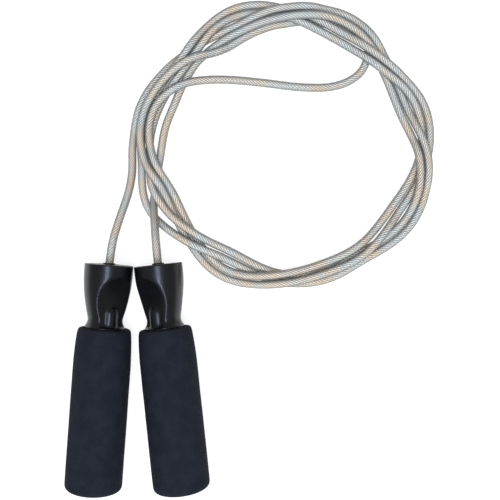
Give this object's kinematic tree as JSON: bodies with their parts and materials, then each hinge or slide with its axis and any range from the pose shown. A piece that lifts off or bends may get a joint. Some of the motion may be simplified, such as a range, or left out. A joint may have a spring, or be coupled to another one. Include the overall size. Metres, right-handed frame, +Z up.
{
  "type": "jump rope",
  "caption": "Speed jump rope with two black foam handles, ball-bearing swivel heads and a clear-coated steel cable coiled in a twisted ring.",
  "frame": {"origin": "on the surface that the rope lies on, under the middle of the two handles", "axes": "+X from the left handle to the right one, +Y along the handles towards the cable, +Z up from the surface"},
  "size_m": [0.2227, 0.2972, 0.034],
  "materials": {
    "black_foam": "matte",
    "head_plastic": "satin",
    "tube_plastic": "matte",
    "cage_plastic": "matte",
    "bearing_steel": "polished",
    "washer_steel": "satin",
    "ferrule_aluminium": "satin",
    "coated_cable": "clear coat over steel strands"
  },
  "bodies": {
    "rope": {"cable_coil": "coated_cable", "cable_cross_strand": "coated_cable", "left_bearing_inner_race": "bearing_steel", "left_cable_bush": "head_plastic", "left_thrust_washer": "washer_steel", "left_end_ferrule": "ferrule_aluminium", "left_cable_tail": "coated_cable", "right_bearing_inner_race": "bearing_steel", "right_cable_bush": "head_plastic", "right_thrust_washer": "washer_steel", "right_end_ferrule": "ferrule_aluminium", "right_cable_tail": "coated_cable"},
    "left_handle": {"left_foam_grip": "black_foam", "left_grip_tube": "tube_plastic", "left_end_plug": "tube_plastic", "left_head_housing": "head_plastic", "left_bearing_cap": "head_plastic", "left_bearing_outer_race": "bearing_steel", "left_bearing_shields": "bearing_steel"},
    "left_cage": {"left_bearing_cage": "cage_plastic", "left_bearing_balls": "bearing_steel"},
    "right_handle": {"right_foam_grip": "black_foam", "right_grip_tube": "tube_plastic", "right_end_plug": "tube_plastic", "right_head_housing": "head_plastic", "right_bearing_cap": "head_plastic", "right_bearing_outer_race": "bearing_steel", "right_bearing_shields": "bearing_steel"},
    "right_cage": {"right_bearing_cage": "cage_plastic", "right_bearing_balls": "bearing_steel"}
  },
  "joints": [
    {"name": "left_handle_spin", "type": "hinge", "parent": "rope", "child": "left_handle", "pos_m": [-0.0168, 0.06753, 0.017], "axis": [0.0715, 0.9974, 0], "continuous": true},
    {"name": "left_cage_spin", "type": "hinge", "parent": "rope", "child": "left_cage", "pos_m": [-0.0168, 0.06753, 0.017], "axis": [0.0715, 0.9974, 0], "continuous": true},
    {"name": "right_handle_spin", "type": "hinge", "parent": "rope", "child": "right_handle", "pos_m": [0.01228, 0.06753, 0.017], "axis": [-0.1063, 0.9943, 0], "continuous": true},
    {"name": "right_cage_spin", "type": "hinge", "parent": "rope", "child": "right_cage", "pos_m": [0.01228, 0.06753, 0.017], "axis": [-0.1063, 0.9943, 0], "continuous": true}
  ],
  "couplings": [
    {"joint": "left_cage_spin", "follows": "left_handle_spin", "ratio": 0.6185},
    {"joint": "right_cage_spin", "follows": "right_handle_spin", "ratio": 0.6185}
  ]
}
